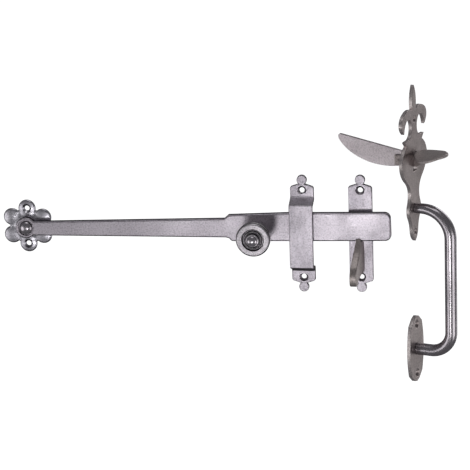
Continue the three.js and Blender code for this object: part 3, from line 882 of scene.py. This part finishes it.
def lug_mesh(x):
    """An ear behind the plate, flared at its root, with a hole for the pin."""
    half, behind, root, thick = LUG["half"], PIVOT["behind"], LUG["root"], LUG["thick"]
    outline = trace((-GAP, root), ((-1.2, half + 0.8), (-behind, half)))
    outline += arc(-behind, 0, half, 90, 270, 20)[1:]
    outline += trace((-behind, -half), ((-1.2, -half - 0.8), (-GAP, -root)))[1:]
    loops = [
        (outline, rounded_edge(thick, 0.3)),
        (circle(-behind, 0, LUG["bore"], 32), plain_edge(thick, 0.15)),
    ]
    return plate_mesh(loops, sideways(thick / 2, x))


def pin_mesh(half, depth):
    """A pin across the handle, along x."""
    profile = [(0, -half), (PIVOT["pin"], -half), (PIVOT["pin"], half), (0, half)]
    points, faces = turned_mesh(eased(profile, 0.3), sides=40)
    return [(along, depth + a, b) for a, along, b in points], faces


# ---- Every piece, with its body, its CAD node, its slot and its materials ----

FIXED, SWINGING, LEVER = "fixed_parts", "bar", "thumb_lever"
# The strap's second material paints shade on its cut sides and down-facing edges.
STRAP_AND_SHADED_SIDES = STRAP_STEEL, SHADED_SIDE_STEEL
# The handle's second material paints a highlight on the plates' cut sides and down-facing edges.
HANDLE_AND_LIT_SIDES = HANDLE_STEEL, LIT_SIDE_STEEL

washer_front = BAR_BACK - GAP
washer_bore = EYE["shank"] + GAP
eye_washer = washer_mesh(washer_bore, 6.4, 3.3, washer_front)
knob_washer = washer_mesh(washer_bore, 6.0, washer_front - WASHER, washer_front, KNOB_X, KNOB_Z)
pin = pin_mesh(PIVOT["span"], -PIVOT["behind"])
blade_rivet = pin_mesh(FORK["half"], PLATE - FORK["rivet"])
lug_left, lug_right = lug_mesh(-LUG["x"]), lug_mesh(LUG["x"])
knob, foot_plate = knob_disc_mesh(), bottom_plate_mesh()

piece("rosette", rosette_mesh(), WALL, FIXED, "rosette_plate", "rosette_steel", ROSETTE_STEEL, SHADED_SIDE_STEEL)
piece("eye_washer", eye_washer, WALL, FIXED, "pivot_washer", "rosette_steel", ROSETTE_STEEL)
piece("eye_rivet", rivet_mesh(), WALL, FIXED, "pivot_rivet", "turned_steel", KNOB_STEEL)
piece("keeper", keeper_mesh(), KEEPER, FIXED, "keeper_strap", "strap_steel", *STRAP_AND_SHADED_SIDES)
piece("catch_base", catch_plate_mesh(), CATCH, FIXED, "catch_plate", "strap_steel", *STRAP_AND_SHADED_SIDES)
piece("catch_fin", hook_mesh(), CATCH, FIXED, "catch_hook", "handle_steel", HOOK_STEEL)
piece("bar_forging", bar_mesh(), BAR_PLACE, SWINGING, "latch_bar", "bar_steel", BAR_STEEL, SHADED_SIDE_STEEL)
piece("knob_neck", knob_stem_mesh(), BAR_PLACE, SWINGING, "knob_stem", "turned_steel", KNOB_STEEL)
piece("knob_turning", knob, BAR_PLACE, SWINGING, "knob_disc", "turned_steel", DISC_STEEL, SHADED_SIDE_STEEL)
piece("knob_back_washer", knob_washer, BAR_PLACE, SWINGING, "knob_washer", "turned_steel", KNOB_STEEL)
piece("spear_plate", top_plate_mesh(), HANDLE, FIXED, "handle_top_plate", "handle_steel", *HANDLE_AND_LIT_SIDES)
piece("foot_plate", foot_plate, HANDLE, FIXED, "handle_bottom_plate", "handle_steel", *HANDLE_AND_LIT_SIDES)
piece("grip", grip_mesh(), HANDLE, FIXED, "grip_bar", "rod_steel", ROD_STEEL)
piece("thumb_leaf", pad_mesh(), HANDLE, LEVER, "thumb_pad", "handle_steel", LEAF_STEEL)
piece("thumb_shank", shank_mesh(), HANDLE, LEVER, "thumb_pad", "handle_steel", HANDLE_STEEL)
piece("blade", blade_mesh(), HANDLE, LEVER, "lift_blade", "strap_steel", BLADE_STEEL)
piece("pivot_pin", pin, HANDLE, FIXED, "thumb_pin", "handle_steel", HANDLE_STEEL)
piece("blade_rivet", blade_rivet, HANDLE, LEVER, "lever_rivet", "handle_steel", HANDLE_STEEL)
piece("lug_left", lug_left, HANDLE, FIXED, "pivot_lug_left", "handle_steel", HANDLE_STEEL)
piece("lug_right", lug_right, HANDLE, FIXED, "pivot_lug_right", "handle_steel", HANDLE_STEEL)


# ---- Camera ----

AIM = Vector((0.165, -0.010, 0.010))
CAMERA = {
    "azimuth": 10.7, "elevation": 16.0, "roll": -1.9, "away": 2.0, "lens": 190.0,
    "right": 0.0098, "down": 0.0119,  # how far it is moved from looking straight at AIM, in metres
}


def add_camera():
    azimuth, elevation = math.radians(CAMERA["azimuth"]), math.radians(CAMERA["elevation"])
    level = math.cos(elevation)
    back = Vector((math.sin(azimuth) * level, -math.cos(azimuth) * level, math.sin(elevation)))
    data = bpy.data.cameras.new("camera")
    data.lens = CAMERA["lens"]
    data.sensor_width = 36.0
    data.clip_start, data.clip_end = 0.05, 60.0
    camera = bpy.data.objects.new("camera", data)
    bpy.context.scene.collection.objects.link(camera)
    facing = (-back).to_track_quat("-Z", "Y").to_matrix().to_4x4()
    facing = facing @ Matrix.Rotation(math.radians(CAMERA["roll"]), 4, "Z")
    right, up = facing.col[0].to_3d(), facing.col[1].to_3d()
    aim = AIM + right * CAMERA["right"] - up * CAMERA["down"]
    camera.matrix_world = Matrix.Translation(aim + back * CAMERA["away"]) @ facing
    bpy.context.scene.camera = camera


add_camera()


# ---- Floor and light ----


def stage_material(name, colour, glow):
    material = bpy.data.materials.new(name)
    material.use_nodes = True
    shader = material.node_tree.nodes["Principled BSDF"]
    shader.inputs["Base Color"].default_value = (*colour, 1)
    shader.inputs["Roughness"].default_value = 0.9
    shader.inputs["Emission Color"].default_value = (*colour, 1)
    shader.inputs["Emission Strength"].default_value = glow
    return material


def add_stage():
    """A plain pale floor well below the set, curving up to a pale backdrop all round."""
    drop, reach, curve, wall, sides, steps = -1.0, 9.0, 3, 22.0, 64, 8
    rings = []
    for i in range(steps + 1):
        a = math.pi / 2 * i / steps
        rings.append((reach + curve * math.sin(a), drop + curve * (1 - math.cos(a))))
    rings.append((reach + curve, wall))
    points, faces = [], []
    for radius, height in rings:
        for k in range(sides):
            a = 2 * math.pi * k / sides
            points.append((radius * math.cos(a), radius * math.sin(a), height))
    for i in range(len(rings) - 1):
        for k in range(sides):
            a, b = i * sides + k, i * sides + (k + 1) % sides
            faces.append((a, b, b + sides, a + sides))
    faces.append(tuple(range(sides)))
    mesh = bpy.data.meshes.new("floor")
    mesh.from_pydata(points, [], faces)
    mesh.materials.append(stage_material("pale_paper", (0.97, 0.97, 0.97), 1.0))
    floor = bpy.data.objects.new("floor", mesh)
    bpy.context.scene.collection.objects.link(floor)
    floor.visible_glossy = False
    floor.visible_diffuse = False


def add_light(name, at, toward, size, power):
    """A round soft light. size is its width in metres, and power is in watts."""
    data = bpy.data.lights.new(name, "AREA")
    data.shape = "DISK"
    data.size = size
    data.energy = power
    light = bpy.data.objects.new(name, data)
    bpy.context.scene.collection.objects.link(light)
    light.location = at
    light.rotation_euler = (Vector(toward) - Vector(at)).to_track_quat("-Z", "Y").to_euler()
    light.visible_camera = False


def add_lights():
    centre = (0.2, -0.02, 0.0)
    handle = (HANDLE_AT[0] * MM, HANDLE_AT[1] * MM, 0)
    add_light("key", (0.16, -1.45, -0.41), centre, 0.3, 1.85)
    add_light("second_key", (-0.1, -1.45, -0.39), centre, 0.3, 0.45)
    add_light("left_fill", (-1.1, -1.15, -0.42), centre, 1.0, 3.4)
    add_light("top_fill", (0.2, -0.6, 2.2), centre, 1.5, 7)
    add_light("back_fill", (1.2, 1.6, 0.9), centre, 1.2, 6)
    add_light("right_fill", (1.6, -0.9, -0.45), centre, 1.2, 5)
    add_light("handle_light", (1.36, 1.1, -0.44), handle, 1.0, 1.7)
    world = bpy.data.worlds.new("studio")
    world.use_nodes = True
    background = world.node_tree.nodes["Background"]
    background.inputs["Color"].default_value = (0.95, 0.96, 1.0, 1)
    background.inputs["Strength"].default_value = 0.12
    bpy.context.scene.world = world


add_stage()
add_lights()
bpy.context.scene.view_settings.view_transform = "Standard"
